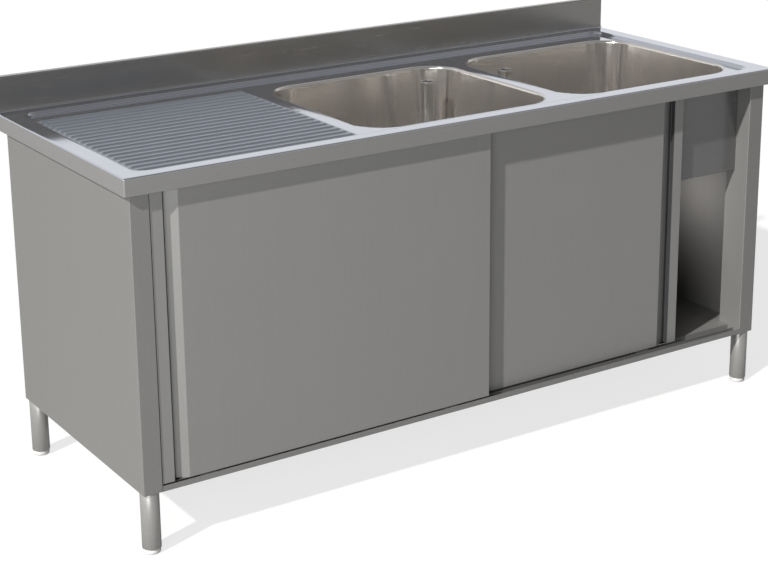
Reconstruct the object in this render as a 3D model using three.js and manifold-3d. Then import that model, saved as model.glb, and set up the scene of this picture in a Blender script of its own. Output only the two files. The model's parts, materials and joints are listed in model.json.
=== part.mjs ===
// Kitchen sink unit: a stainless worktop with a ribbed drainer and two pressed bowls on a closed
// cabinet with two sliding doors, four round legs and screw-in feet.
// Millimetres, +Z up. X runs along the front from left to right and Y from the front to the wall.
// The origin is on the floor, under the centre of the worktop.

import * as THREE from "three";
import { mergeVertices } from "three/addons/utils/BufferGeometryUtils.js";
import Module from "manifold-3d";

const wasm = await Module();
wasm.setup();

// ---------- driving dimensions ----------

// overall
const unitWidth = 1800;
const unitDepth = 700;
const topHeight = 850;
const topSheet = 1.5;
const bodySheet = 1.2;
const seatGap = 0.3;

// worktop
const skirtHeight = 40;
const skirtReturn = 12;
const splashHeight = 85;
const splashThickness = 20;
const splashCove = 8;
const rimFront = 34;
const rimSide = 42;
const rimRear = 30;
const recessDepth = 8;
const recessSlope = 7;
const recessCorner = 36;

// drainer
const ribCount = 19;
const ribPitch = 28;
const ribWidth = 15;
const ribCrown = 7;
const ribHeight = 4;
const ribEndSlope = 12;
const ribFromEnd = 54;
const ribToBowl = 42;
const boardThickness = 18;
const boardSideGap = 12;
const stiffenerWidth = 60;
const stiffenerHeight = 20;
const stiffenerCount = 2;

// bowls
const bowlWidth = 530;
const bowlLength = 500;
const bowlFall = 242;
const bowlCorner = 90;
const bowlDraft = 14;
const bowlFillet = 36;
const bowlFlange = 8;
const bowlDivider = 48;
const bowlFromEnd = 58;
const bowlFromFront = 72;

// waste and standpipe
const wasteSideMargin = 8;
const wasteRearMargin = 3;
const wasteHole = 28;
const wasteBodyRadius = 26;
const wasteBore = 20.5;
const wasteFlange = 40;
const wasteFlangeHeight = 2.5;
const wasteBodyLength = 42;
const wasteTailRadius = 20;
const wasteTailBore = 18;
const wasteTailLength = 26;
const gasketRadius = 38;
const gasketHeight = 3;
const nutRadius = 37;
const nutHeight = 12;
const nutLobes = 6;
const nutLobeHalf = 4;
const pipeRadius = 18;
const pipeWall = 1.5;
const overflowDrop = 17;
const pipeCollar = 24;
const pipeCollarHeight = 4;
const pipePlugLength = 24;
const pipePlugClear = 0.6;
const turnedChamfer = 1;
const plugChamferLength = 3;

// cabinet
const panelInset = 17;
const frontInset = 16;
const rearInset = 26;
const cabinetBottom = 143;
const stileWidth = 45;
const frontReturn = 75;
const rearReturn = 45;
const shelfHeight = 13;
const shelfRearLip = 11;
const shelfStiffenerWidth = 80;
const apronUnderBowl = 20;
const apronHem = 14;
const backFlange = 14;
const rearRailWidth = 18;
const rearRailHeight = 38;
const railDrop = 3;

// corner posts, legs and feet
const postSize = 42;
const postWall = 1.5;
const socketPlate = 3;
const socketSpigot = 26;
const legRadius = 21.2;
const legWall = 1.5;
const legClear = 12;
const insertLength = 24;
const footRadius = 19.5;
const footChamfer = 2.5;
const footStemRadius = 6;
const footStemLength = 58;

// sliding doors
const doorOverlap = 52;
const doorEndGap = 2;
const doorThickness = 19;
const doorSheet = 1;
const doorTopGap = 4.7;
const doorBottomGap = 2;
const doorBackTray = 8;
const trackPitch = 21;
const rearDoorOpen = 201;
const gripStrip = 29;
const gripDepth = 13;
const gripFloor = 7;
const gripSlope = 28;

// door track, hangers, wheels and guides
const trackSheet = 1.5;
const trackSetBack = 1;
const trackTopGap = 6;
const trackLip = 6;
const wheelRadius = 8;
const wheelWidth = 5;
const wheelTopGap = 3.2;
const wheelSideGap = 0.75;
const axleRadius = 2.5;
const hubRadius = 4;
const hangerInset = 110;
const hangerWidth = 26;
const hangerSheet = 2;
const hangerFoot = 12;
const hangerLength = 40;
const hangerOverAxle = 6;
const shoeLength = 40;
const shoeClear = 1.5;
const guideFin = 8;
const guideFoot = 12;

// facets
const cornerSteps = 7;
const filletSteps = 4;
const coveSteps = 4;
const pipeSides = 24;
const legSides = 32;
const smallSides = 16;

// ---------- worked out from them ----------

const left = -unitWidth / 2;
const right = unitWidth / 2;
const front = -unitDepth / 2;
const rear = unitDepth / 2;
const skirtBottom = topHeight - skirtHeight;
const splashFront = rear - splashThickness;
const recessFloor = topHeight - recessDepth;
const underTop = recessFloor - topSheet - seatGap;

const rightBowlX = right - bowlFromEnd - bowlWidth / 2;
const leftBowlX = rightBowlX - bowlWidth - bowlDivider;
const bowlY = front + bowlFromFront + bowlLength / 2;
const leftBowlEdge = leftBowlX - bowlWidth / 2;
const bowlBottom = recessFloor - bowlFall;

const panelOuter = unitWidth / 2 - panelInset;
const panelFront = front + frontInset;
const panelRear = rear - rearInset;
const bayHalf = panelOuter - stileWidth;
const bayFit = bayHalf - seatGap;
const shelfTop = cabinetBottom + shelfHeight;

const doorWidth = (2 * bayHalf - 2 * doorEndGap + doorOverlap) / 2;
const trackFront = panelFront + trackSetBack;
const apronFront = trackFront + 2 * trackPitch + trackSheet;
const frontDoorY = trackFront + trackSheet + (trackPitch - trackSheet - doorThickness) / 2;
const leftDoorX = -bayHalf + doorEndGap;
const rightDoorX = bayHalf - doorEndGap - rearDoorOpen;
const trackTop = underTop - trackTopGap;
const axleHeight = trackTop - trackSheet - wheelTopGap - wheelRadius;
const lipTop = axleHeight - wheelRadius - seatGap;
const trackBottom = lipTop - trackSheet;
const doorTop = trackBottom - doorTopGap;
const doorBottom = shelfTop + doorBottomGap;
const apronBottom = bowlBottom - apronUnderBowl;
const collarSeat = bowlBottom + 2 * seatGap + wasteFlangeHeight;
const pipeRise = recessFloor - overflowDrop - collarSeat;
const postOffset = bodySheet + seatGap + postSize / 2;

// ---------- shapes ----------

const AXES = {
  x: new THREE.Matrix4().makeBasis(
    new THREE.Vector3(0, 1, 0),
    new THREE.Vector3(0, 0, 1),
    new THREE.Vector3(1, 0, 0),
  ),
  z: new THREE.Matrix4(),
};

// A closed mesh as a solid that can be cut and joined.
function solid(geometry) {
  const bare = new THREE.BufferGeometry();
  bare.setAttribute("position", geometry.getAttribute("position"));
  bare.setIndex(geometry.index);
  const merged = mergeVertices(bare, 1e-4);
  return new wasm.Manifold(
    new wasm.Mesh({
      numProp: 3,
      vertProperties: merged.attributes.position.array,
      triVerts: new Uint32Array(merged.index.array),
    }),
  );
}

// A cut or joined solid as a mesh geometry.
function geometryOf(made) {
  const mesh = made.getMesh();
  const geometry = new THREE.BufferGeometry();
  geometry.setAttribute("position", new THREE.BufferAttribute(mesh.vertProperties, 3));
  geometry.setIndex(new THREE.BufferAttribute(mesh.triVerts, 1));
  const flat = geometry.toNonIndexed();
  flat.computeVertexNormals();
  return flat;
}

function join(...solids) {
  return solids.reduce((all, next) => all.add(next));
}

// A box given by its lowest and highest corners.
function boxBetween(low, high) {
  const size = high.map((value, i) => value - low[i]);
  const geometry = new THREE.BoxGeometry(...size);
  geometry.translate(...high.map((value, i) => (value + low[i]) / 2));
  return solid(geometry);
}

// An outline pushed along an axis, from one place on it to another.
// Along "z" its points are [x, y], and along "x" they are [y, z].
function prism(outline, from, to, axis = "z") {
  const shape = new THREE.Shape(outline.map(([u, v]) => new THREE.Vector2(u, v)));
  const geometry = new THREE.ExtrudeGeometry(shape, { depth: to - from, bevelEnabled: false });
  geometry.translate(0, 0, from);
  geometry.applyMatrix4(AXES[axis]);
  return solid(geometry);
}

// A turned solid about Z, from [radius, height] points that start and end on the axis or
// close on themselves.
function turned(profile, sides) {
  const points = profile.map(([radius, height]) => new THREE.Vector2(radius, height));
  const geometry = new THREE.LatheGeometry(points, sides);
  geometry.rotateX(Math.PI / 2);
  return solid(geometry);
}

function cylinder(radius, from, to, sides) {
  return turned([[0, from], [radius, from], [radius, to], [0, to]], sides);
}

// A ring or tube about Z.
function tube(outer, inner, from, to, sides) {
  return turned([[inner, to], [inner, from], [outer, from], [outer, to], [inner, to]], sides);
}

// A rectangle with round corners, as points at one height.
function roundedRing(width, length, radius, height) {
  const corners = [[1, 1], [-1, 1], [-1, -1], [1, -1]];
  return corners.flatMap(([sideX, sideY], quarter) => {
    const centreX = sideX * (width / 2 - radius);
    const centreY = sideY * (length / 2 - radius);
    return Array.from({ length: cornerSteps + 1 }, (_, step) => {
      const angle = (quarter + step / cornerSteps) * (Math.PI / 2);
      return [centreX + radius * Math.cos(angle), centreY + radius * Math.sin(angle), height];
    });
  });
}

// A closed skin through rings of as many points each, the lowest ring first.
function loft(rings) {
  const count = rings[0].length;
  const positions = new Float32Array(rings.flat(2));
  const faces = [];
  for (let level = 0; level < rings.length - 1; level += 1) {
    for (let i = 0; i < count; i += 1) {
      const a = level * count + i;
      const b = level * count + ((i + 1) % count);
      faces.push(a, b, b + count, a, b + count, a + count);
    }
  }
  const last = (rings.length - 1) * count;
  for (let i = 1; i < count - 1; i += 1) {
    faces.push(0, i + 1, i);
    faces.push(last, last + i, last + i + 1);
  }
  const geometry = new THREE.BufferGeometry();
  geometry.setAttribute("position", new THREE.BufferAttribute(positions, 3));
  geometry.setIndex(faces);
  return solid(geometry);
}

// ---------- materials ----------

function finish(color, roughness, metalness) {
  return new THREE.MeshStandardMaterial({ color, roughness, metalness });
}

const brushedSteel = () => finish(0x8d8c89, 0.36, 1);
const brightSteel = () => finish(0xa3a29c, 0.2, 1);
const greyPlastic = () => finish(0x55585c, 0.5, 0);
const whitePlastic = () => finish(0xe8e8e6, 0.45, 0);
const blackRubber = () => finish(0x1d1d1f, 0.8, 0);
const chipboard = () => finish(0x9b7b52, 0.85, 0);

const unit = new THREE.Group();

// Adds a named piece to the unit at its place.
function place(name, made, material, x = 0, y = 0, z = 0) {
  const mesh = new THREE.Mesh(geometryOf(made), material);
  mesh.name = name;
  mesh.position.set(x, y, z);
  unit.add(mesh);
  return mesh;
}

// ---------- worktop ----------

// The outer side of the fold from the deck up the splashback, as [y, z] points.
function coveArc(radius) {
  return Array.from({ length: coveSteps + 1 }, (_, step) => {
    const angle = (step / coveSteps) * (Math.PI / 2);
    return [
      splashFront - splashCove + radius * Math.sin(angle),
      topHeight + splashCove - radius * Math.cos(angle),
    ];
  });
}

// One sheet folded from the front skirt over the deck and the splashback down to the wall skirt.
function worktopFold() {
  const splashTop = topHeight + splashHeight;
  const outside = [
    [front + skirtReturn, skirtBottom],
    [front, skirtBottom],
    [front, topHeight],
    ...coveArc(splashCove),
    [splashFront, splashTop],
    [rear, splashTop],
    [rear, skirtBottom],
    [rear - skirtReturn, skirtBottom],
  ];
  const inside = [
    [rear - skirtReturn, skirtBottom + topSheet],
    [rear - topSheet, skirtBottom + topSheet],
    [rear - topSheet, splashTop - topSheet],
    [splashFront + topSheet, splashTop - topSheet],
    ...coveArc(splashCove + topSheet).reverse(),
    [front + topSheet, topHeight - topSheet],
    [front + topSheet, skirtBottom + topSheet],
    [front + skirtReturn, skirtBottom + topSheet],
  ];
  return prism([...outside, ...inside], left, right, "x");
}

// The end skirt with the end of the splashback and the hem turned in below, on one side.
function worktopEnd(side) {
  const outline = [
    [front, skirtBottom],
    [rear, skirtBottom],
    [rear, topHeight + splashHeight],
    [splashFront, topHeight + splashHeight],
    ...coveArc(splashCove).reverse(),
    [front, topHeight],
  ];
  const outer = side * right;
  const inner = side * (right - topSheet);
  const hem = side * (right - skirtReturn);
  const skirt = prism(outline, Math.min(outer, inner), Math.max(outer, inner), "x");
  const lower = [Math.min(outer, hem), front, skirtBottom];
  const upper = [Math.max(outer, hem), rear, skirtBottom + topSheet];
  return skirt.add(boxBetween(lower, upper));
}

// The outline of the pressed recess, grown sideways by a margin.
function recessRing(margin, height) {
  const width = unitWidth - 2 * rimSide + 2 * margin;
  const rearEdge = splashFront - rimRear;
  const length = rearEdge - front - rimFront + 2 * margin;
  const middle = (rearEdge + front + rimFront) / 2;
  const ring = roundedRing(width, length, recessCorner + margin, height);
  return ring.map(([x, y, z]) => [x, y + middle, z]);
}

// One drainer rib, a long ridge with sloping flanks and ends; lying along X from x = 0.
function rib(length, width, crown, bottom, top) {
  const low = [[0, -width / 2], [length, -width / 2], [length, width / 2], [0, width / 2]];
  const farX = length - ribEndSlope;
  const high = [
    [ribEndSlope, -crown / 2],
    [farX, -crown / 2],
    [farX, crown / 2],
    [ribEndSlope, crown / 2],
  ];
  return loft([low.map(([x, y]) => [x, y, bottom]), high.map(([x, y]) => [x, y, top])]);
}

function ribRow(inset, bottom, top) {
  const length = leftBowlEdge - ribToBowl - left - ribFromEnd - 2 * inset;
  const firstY = bowlY - ((ribCount - 1) * ribPitch) / 2;
  return Array.from({ length: ribCount }, (_, i) =>
    rib(length, ribWidth - 2 * inset, ribCrown - inset, bottom, top)
      .translate([left + ribFromEnd + inset, firstY + i * ribPitch, 0]),
  );
}

function bowlHole(x) {
  return loft([bowlRim(0, recessFloor - 2 * topSheet), bowlRim(0, topHeight)]).translate([x, bowlY, 0]);
}

function worktop() {
  const sheet = join(worktopFold(), worktopEnd(-1), worktopEnd(1));
  const pan = loft([
    recessRing(topSheet - recessSlope, recessFloor - topSheet),
    recessRing(topSheet, topHeight - topSheet / 2),
  ]);
  const recess = loft([
    recessRing(-recessSlope, recessFloor),
    recessRing(0, topHeight),
    recessRing(0, topHeight + topSheet),
  ]);
  const ribBase = recessFloor - topSheet / 2;
  const pressed = join(sheet.add(pan).subtract(recess), ...ribRow(0, ribBase, recessFloor + ribHeight));
  const ribUnder = recessFloor - 2 * topSheet;
  const hollows = join(...ribRow(topSheet, ribUnder, recessFloor + ribHeight - topSheet));
  return pressed.subtract(hollows).subtract(bowlHole(leftBowlX)).subtract(bowlHole(rightBowlX));
}

// ---------- bowls and wastes ----------

// The rings of a bowl's skin from the bottom up, grown sideways and down by a margin.
function bowlRings(margin) {
  const rings = [];
  const bottom = -bowlFall + topSheet + seatGap - margin;
  const lowerWidth = bowlWidth - 2 * bowlDraft + 2 * margin;
  const lowerLength = bowlLength - 2 * bowlDraft + 2 * margin;
  const lowerCorner = bowlCorner - bowlDraft / 2 + margin;
  const fillet = bowlFillet + margin;
  for (let step = 0; step <= filletSteps; step += 1) {
    const angle = (step / filletSteps) * (Math.PI / 2);
    const inward = fillet * (1 - Math.sin(angle));
    const ring = [lowerWidth - 2 * inward, lowerLength - 2 * inward, lowerCorner - inward];
    rings.push(roundedRing(...ring, bottom + fillet * (1 - Math.cos(angle))));
  }
  return rings;
}

function bowlRim(margin, height) {
  return roundedRing(bowlWidth + 2 * margin, bowlLength + 2 * margin, bowlCorner + margin, height);
}

// How far the waste's middle stands in from the bowl's edge, clear of the bottom's round edge.
function wasteInset(margin) {
  return bowlDraft + bowlFillet + wasteFlange + margin;
}

function wasteLocalY() {
  return bowlLength / 2 - wasteInset(wasteRearMargin);
}

// One pressed bowl, its flange's upper face at z = 0 and its waste hole towards the divider.
function bowl(wasteX) {
  const flange = loft([bowlRim(bowlFlange, -topSheet), bowlRim(bowlFlange, 0)]);
  const outside = loft([...bowlRings(topSheet), bowlRim(topSheet, -topSheet / 2)]);
  const inside = loft([...bowlRings(0), bowlRim(0, 0), bowlRim(0, topSheet)]);
  const hole = cylinder(wasteHole, -bowlFall - bowlFillet, -bowlFall + bowlFillet, pipeSides);
  return flange.add(outside).subtract(inside).subtract(hole.translate([wasteX, wasteLocalY(), 0]));
}

// The waste fitting, its flange's underside at z = 0.
function wasteBody() {
  return turned([
    [wasteBore, wasteFlangeHeight],
    [wasteBore, -wasteBodyLength],
    [wasteTailBore, -wasteBodyLength],
    [wasteTailBore, -wasteBodyLength - wasteTailLength],
    [wasteTailRadius, -wasteBodyLength - wasteTailLength],
    [wasteTailRadius, -wasteBodyLength - topSheet],
    [wasteBodyRadius, -wasteBodyLength - topSheet],
    [wasteBodyRadius, 0],
    [wasteFlange, 0],
    [wasteFlange - turnedChamfer, wasteFlangeHeight],
    [wasteBore, wasteFlangeHeight],
  ], pipeSides);
}

// The lobed nut that clamps the waste from below.
function wasteNut() {
  const ring = tube(nutRadius, wasteBodyRadius + seatGap, 0, nutHeight, pipeSides);
  const lobes = Array.from({ length: nutLobes }, (_, i) => {
    const low = [nutRadius - nutLobeHalf, -nutLobeHalf, 0];
    const high = [nutRadius + nutLobeHalf, nutLobeHalf, nutHeight];
    return boxBetween(low, high).rotate([0, 0, (i * 360) / nutLobes]);
  });
  return join(ring, ...lobes);
}

// The overflow standpipe, its collar's underside at z = 0.
function standpipe() {
  const bore = pipeRadius - pipeWall;
  const plug = wasteBore - pipePlugClear;
  return turned([
    [bore, pipeRise],
    [bore, -pipePlugLength],
    [plug - turnedChamfer, -pipePlugLength],
    [plug, -pipePlugLength + plugChamferLength],
    [plug, 0],
    [pipeCollar, 0],
    [pipeCollar, pipeCollarHeight - turnedChamfer],
    [pipeCollar - turnedChamfer, pipeCollarHeight],
    [pipeRadius, pipeCollarHeight],
    [pipeRadius, pipeRise],
    [bore, pipeRise],
  ], pipeSides);
}

function addBowl(name, x, side) {
  const wasteX = side * (bowlWidth / 2 - wasteInset(wasteSideMargin));
  const flangeZ = recessFloor - topSheet - seatGap;
  const wasteAt = [x + wasteX, bowlY + wasteLocalY()];
  const underBowl = bowlBottom - topSheet - seatGap;
  place(`${name}_bowl`, bowl(wasteX), brightSteel(), x, bowlY, flangeZ);
  place(`${name}_waste_body`, wasteBody(), brightSteel(), ...wasteAt, bowlBottom + seatGap);
  const gasket = tube(gasketRadius, wasteBodyRadius + seatGap, -gasketHeight, 0, pipeSides);
  place(`${name}_waste_gasket`, gasket, blackRubber(), ...wasteAt, underBowl);
  const nutZ = underBowl - gasketHeight - seatGap - nutHeight;
  place(`${name}_waste_nut`, wasteNut(), greyPlastic(), ...wasteAt, nutZ);
  place(`${name}_standpipe`, standpipe(), brightSteel(), ...wasteAt, collarSeat);
}

// ---------- top supports ----------

const boardLeft = -bayFit + bodySheet + seatGap;

function drainerBoard() {
  const low = [boardLeft, apronFront + bodySheet + seatGap, underTop - boardThickness];
  const high = [
    leftBowlEdge - boardSideGap,
    splashFront - rimRear - recessSlope - seatGap,
    underTop,
  ];
  return boxBetween(low, high);
}

// A hat section lying along Y, open below, with its top at z = 0.
function hatAlongY(width, height, from, to) {
  const top = boxBetween([-width / 2, from, -bodySheet], [width / 2, to, 0]);
  const legs = [-1, 1].map((side) => {
    const edges = [(side * width) / 2, (side * width) / 2 - side * bodySheet];
    return boxBetween([Math.min(...edges), from, -height], [Math.max(...edges), to, 0]);
  });
  return join(top, ...legs);
}

function rearRail() {
  const railTop = underTop - railDrop;
  const backFace = panelRear - bodySheet - seatGap;
  const frontFace = backFace - rearRailWidth;
  const half = bayFit - bodySheet - seatGap;
  const railBottom = railTop - rearRailHeight;
  const web = boxBetween([-half, frontFace, railBottom], [half, frontFace + topSheet, railTop]);
  const upper = boxBetween([-half, frontFace, railTop - topSheet], [half, backFace, railTop]);
  const lower = boxBetween([-half, frontFace, railBottom], [half, backFace, railBottom + topSheet]);
  return join(web, upper, lower);
}

// The front cover that hides the bowls, hemmed below and flanged to the side panels.
function bowlApron() {
  const top = underTop - railDrop;
  const back = apronFront + bodySheet;
  const sheet = boxBetween([-bayFit, apronFront, apronBottom], [bayFit, back, top]);
  const hem = boxBetween(
    [-bayFit, apronFront, apronBottom],
    [bayFit, apronFront + apronHem, apronBottom + bodySheet],
  );
  const flanges = [-1, 1].map((side) => {
    const edges = [side * bayFit, side * (bayFit - bodySheet)];
    return boxBetween(
      [Math.min(...edges), apronFront, apronBottom],
      [Math.max(...edges), apronFront + apronHem, top],
    );
  });
  return join(sheet, hem, ...flanges);
}

// ---------- cabinet ----------

// A side panel folded round both corner posts, with its outer face on the given side.
function sidePanel(side) {
  const length = panelRear - panelFront;
  const inner = stileWidth - bodySheet;
  const outline = [
    [0, 0],
    [stileWidth, 0],
    [stileWidth, frontReturn],
    [inner, frontReturn],
    [inner, bodySheet],
    [bodySheet, bodySheet],
    [bodySheet, length - bodySheet],
    [inner, length - bodySheet],
    [inner, length - rearReturn],
    [stileWidth, length - rearReturn],
    [stileWidth, length],
    [0, length],
  ];
  const turnedRound = outline.map(([u, v]) => [side * (panelOuter - u), panelFront + v]);
  return prism(turnedRound, cabinetBottom, underTop);
}

function cornerPost() {
  const half = postSize / 2;
  const inner = half - postWall;
  const bottom = cabinetBottom + socketPlate + seatGap;
  return boxBetween([-half, -half, bottom], [half, half, underTop]).subtract(
    boxBetween([-inner, -inner, bottom - 1], [inner, inner, underTop + 1]),
  );
}

function backPanel() {
  const top = underTop - railDrop;
  const frontFace = panelRear - backFlange;
  const tray = boxBetween([-bayFit, frontFace, cabinetBottom], [bayFit, panelRear, top]);
  const inner = bayFit - bodySheet;
  return tray.subtract(
    boxBetween([-inner, frontFace - 1, cabinetBottom - 1], [inner, panelRear - bodySheet, top + 1]),
  );
}

// Where the lower door channel ends, behind the guide shoes of the rear door.
function channelBack() {
  return frontDoorY + trackPitch + doorThickness - shoeInset() + shoeClear;
}

// How far the guide shoes stand in from a door's two faces.
function shoeInset() {
  return (doorThickness + trackSheet + 2 * shoeClear - trackPitch) / 2;
}

// The shelf, notched round the corners, with a channel and lip folded in its front for the doors.
function bottomShelf() {
  const wide = panelOuter - bodySheet - seatGap;
  const rearHalf = bayFit - bodySheet - seatGap;
  const notchFront = panelFront + frontReturn + seatGap;
  const notchRear = panelRear - rearReturn - seatGap;
  const rearEdge = panelRear - bodySheet - seatGap;
  const riser = channelBack();
  const rightSide = [
    [bayFit, riser],
    [bayFit, notchFront],
    [wide, notchFront],
    [wide, notchRear],
    [rearHalf, notchRear],
    [rearHalf, rearEdge],
  ];
  const leftSide = rightSide.map(([x, y]) => [-x, y]).reverse();
  const plate = prism([...rightSide, ...leftSide], shelfTop - bodySheet, shelfTop);
  const low = [-bayFit, panelFront, cabinetBottom];
  const wall = boxBetween([-bayFit, riser, cabinetBottom], [bayFit, riser + bodySheet, shelfTop]);
  const floor = boxBetween(low, [bayFit, riser, cabinetBottom + bodySheet]);
  const lip = boxBetween(low, [bayFit, panelFront + bodySheet, shelfTop]);
  const rearLip = boxBetween(
    [-rearHalf, rearEdge - bodySheet, shelfTop - shelfRearLip],
    [rearHalf, rearEdge, shelfTop],
  );
  return join(plate, wall, floor.add(lip), rearLip);
}

// The channel section that stiffens the shelf from below, along its middle.
function shelfStiffener() {
  const half = bayFit - bodySheet - seatGap;
  const top = shelfTop - bodySheet - seatGap;
  const edge = shelfStiffenerWidth / 2;
  const web = boxBetween([-half, -edge, top - bodySheet], [half, edge, top]);
  const legs = [-edge, edge - bodySheet].map((y) =>
    boxBetween([-half, y, cabinetBottom], [half, y + bodySheet, top]),
  );
  return join(web, ...legs);
}

// ---------- legs and feet ----------

function legSocket() {
  const half = postSize / 2;
  const plate = boxBetween([-half, -half, cabinetBottom], [half, half, cabinetBottom + socketPlate]);
  const spigot = legRadius - legWall - seatGap;
  const spigotTop = cabinetBottom + socketPlate / 2;
  return plate.add(cylinder(spigot, cabinetBottom - socketSpigot, spigotTop, legSides));
}

function leg() {
  return tube(legRadius, legRadius - legWall, legClear, cabinetBottom - seatGap, legSides);
}

function legInsert() {
  const outer = legRadius - legWall - seatGap;
  return tube(outer, footStemRadius + seatGap, legClear, legClear + insertLength, legSides);
}

function foot() {
  const top = legClear - seatGap;
  return turned([
    [0, 0],
    [footRadius - footChamfer, 0],
    [footRadius, footChamfer],
    [footRadius, top],
    [footStemRadius, top],
    [footStemRadius, top + footStemLength],
    [0, top + footStemLength],
  ], legSides);
}

function addCorners() {
  for (const [sideX, nameX] of [[-1, "left"], [1, "right"]]) {
    for (const [nameY, y] of [["front", panelFront + postOffset], ["rear", panelRear - postOffset]]) {
      const x = sideX * (panelOuter - postOffset);
      const corner = `${nameY}_${nameX}`;
      place(`${corner}_post`, cornerPost(), brushedSteel(), x, y);
      place(`${corner}_leg_socket`, legSocket(), brushedSteel(), x, y);
      place(`${corner}_leg`, leg(), brushedSteel(), x, y);
      place(`${corner}_leg_insert`, legInsert(), greyPlastic(), x, y);
      place(`${corner}_foot`, foot(), whitePlastic(), x, y);
    }
  }
}

// ---------- sliding doors ----------

// The door's plan outline from its outer edge at u = 0, with the finger channel pressed in.
function doorOutline() {
  const channel = gripStrip + gripFloor;
  return [
    [0, 0],
    [gripStrip, 0],
    [gripStrip, gripDepth],
    [channel, gripDepth],
    [channel + gripSlope, 0],
    [doorWidth, 0],
    [doorWidth, doorThickness],
    [0, doorThickness],
  ];
}

// The space inside the front skin, one sheet in from the outline and open at the back.
function doorHollow() {
  const channel = gripStrip + gripFloor;
  const slant = (doorSheet * (Math.hypot(gripSlope, gripDepth) - gripSlope)) / gripDepth;
  return [
    [doorSheet, doorSheet],
    [gripStrip - doorSheet, doorSheet],
    [gripStrip - doorSheet, gripDepth + doorSheet],
    [channel + slant, gripDepth + doorSheet],
    [channel + slant + gripSlope, doorSheet],
    [doorWidth - doorSheet, doorSheet],
    [doorWidth - doorSheet, doorThickness + 1],
    [doorSheet, doorThickness + 1],
  ];
}

// A door's outer edge is at x = 0, and the door reaches from there to the given side.
function doorFrontSkin(reach) {
  const facing = (outline) => outline.map(([u, v]) => [reach * u, v]);
  const block = prism(facing(doorOutline()), doorBottom, doorTop);
  return block.subtract(prism(facing(doorHollow()), doorBottom + doorSheet, doorTop - doorSheet));
}

// The shallow tray that closes a door's back.
function doorBackSkin(reach) {
  const edge = doorSheet + seatGap;
  const outerX = [reach * edge, reach * (doorWidth - edge)];
  const innerX = [reach * (edge + doorSheet), reach * (doorWidth - edge - doorSheet)];
  const traysFront = Math.max(doorThickness - doorBackTray, gripDepth + doorSheet + seatGap);
  const tray = boxBetween(
    [Math.min(...outerX), traysFront, doorBottom + edge],
    [Math.max(...outerX), doorThickness, doorTop - edge],
  );
  return tray.subtract(
    boxBetween(
      [Math.min(...innerX), traysFront - 1, doorBottom + edge + doorSheet],
      [Math.max(...innerX), doorThickness - doorSheet, doorTop - edge - doorSheet],
    ),
  );
}

// The bracket that hangs a door from its wheels, on the door's top at the door's middle plane.
function hanger() {
  const foot = doorTop + seatGap;
  const half = hangerSheet / 2;
  const top = axleHeight + hangerOverAxle;
  const base = boxBetween(
    [-hangerLength / 2, -hangerFoot / 2, foot],
    [hangerLength / 2, hangerFoot / 2, foot + hangerSheet],
  );
  const plate = boxBetween([-hangerWidth / 2, -half, foot], [hangerWidth / 2, half, top]);
  const hole = cylinder(axleRadius + seatGap, -hangerFoot, hangerFoot, smallSides);
  return base.add(plate).subtract(hole.rotate([90, 0, 0]).translate([0, 0, axleHeight]));
}

// Two wheels on one axle, turning about Y through the origin.
function wheelPair() {
  const outer = (trackPitch - trackSheet) / 2 - wheelSideGap;
  const inner = outer - wheelWidth;
  const hub = hangerSheet / 2 + seatGap;
  const half = [
    [axleRadius, hub],
    [hubRadius, hub],
    [hubRadius, inner],
    [wheelRadius, inner],
    [wheelRadius, outer],
    [0, outer],
  ];
  const other = half.map(([radius, y]) => [radius, -y]).reverse();
  return turned([...other, ...half], pipeSides).rotate([90, 0, 0]);
}

// The nylon block under a door that runs in the lower channel, centred on the door.
function guideShoe() {
  const half = doorThickness / 2 - shoeInset();
  const bottom = cabinetBottom + bodySheet + seatGap + trackSheet + shoeClear;
  return boxBetween([-shoeLength / 2, -half, bottom], [shoeLength / 2, half, doorBottom - seatGap]);
}

function addDoor(name, outerX, frontY, reach) {
  place(`${name}_door_front_skin`, doorFrontSkin(reach), brushedSteel(), outerX, frontY);
  place(`${name}_door_back_skin`, doorBackSkin(reach), brushedSteel(), outerX, frontY);
  const middleY = frontY + doorThickness / 2;
  for (const [end, along] of [["outer", hangerInset], ["inner", doorWidth - hangerInset]]) {
    const x = outerX + reach * along;
    place(`${name}_door_${end}_hanger`, hanger(), brushedSteel(), x, middleY);
    place(`${name}_door_${end}_wheels`, wheelPair(), whitePlastic(), x, middleY, axleHeight);
    place(`${name}_door_${end}_guide_shoe`, guideShoe(), whitePlastic(), x, middleY);
  }
}

// ---------- door tracks ----------

// The double top track: a web, three walls and four inturned lips that carry the wheels.
function upperTrack() {
  const back = apronFront - seatGap;
  const pieces = [boxBetween([-bayFit, trackFront, trackTop - trackSheet], [bayFit, back, trackTop])];
  for (let i = 0; i < 3; i += 1) {
    const wall = trackFront + i * trackPitch;
    const lipFront = Math.max(wall - trackLip, trackFront);
    const lipBack = Math.min(wall + trackSheet + trackLip, back);
    const wallBack = Math.min(wall + trackSheet, back);
    pieces.push(boxBetween([-bayFit, wall, trackBottom], [bayFit, wallBack, trackTop]));
    pieces.push(boxBetween([-bayFit, lipFront, trackBottom], [bayFit, lipBack, lipTop]));
  }
  return join(...pieces);
}

// The fin on a flat foot that parts the two door channels on the shelf.
function lowerGuide() {
  const middle = frontDoorY + trackPitch - (trackPitch - doorThickness) / 2;
  const bottom = cabinetBottom + bodySheet + seatGap;
  const footTop = bottom + trackSheet;
  const half = trackSheet / 2;
  const foot = boxBetween([-bayFit, middle - guideFoot, bottom], [bayFit, middle + guideFoot, footTop]);
  const fin = boxBetween([-bayFit, middle - half, bottom], [bayFit, middle + half, footTop + guideFin]);
  return foot.add(fin);
}

// ---------- the unit ----------

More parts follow.
